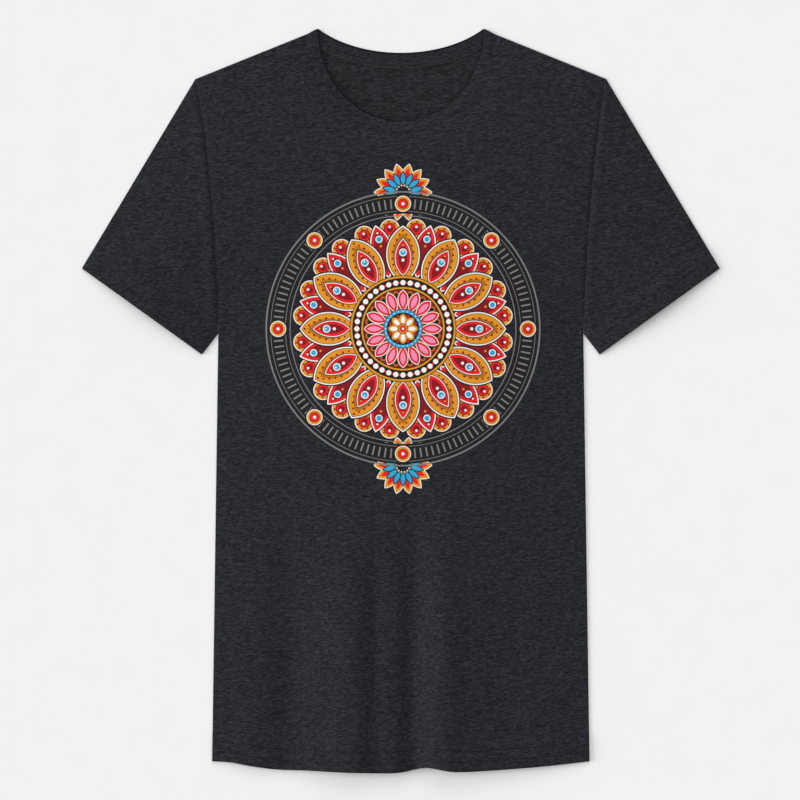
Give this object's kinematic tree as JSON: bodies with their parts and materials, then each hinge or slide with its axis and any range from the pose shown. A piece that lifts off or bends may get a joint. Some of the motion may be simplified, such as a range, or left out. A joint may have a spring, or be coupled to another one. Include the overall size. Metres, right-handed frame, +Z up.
{
  "type": "crew-neck t-shirt",
  "caption": "Short-sleeved crew-neck T-shirt in dark heather jersey with a round ornament printed on the chest, laid flat on its back with hem, cuffs and neck open.",
  "frame": {"origin": "on the surface the shirt lies on, under the middle of its outline", "axes": "+X across the chest towards the wearer's left sleeve, +Y from the hem to the neck, +Z up out of the front"},
  "size_m": [0.6688, 0.7812, 0.0157],
  "materials": {
    "heather_jersey": "charcoal heather jersey, matte",
    "neck_tape": "charcoal cotton tape, matte"
  },
  "bodies": {
    "root": {"front_panel": "heather_jersey", "back_panel": "heather_jersey", "left_sleeve": "heather_jersey", "right_sleeve": "heather_jersey", "neckband": "heather_jersey", "neck_tape": "neck_tape"}
  },
  "joints": []
}
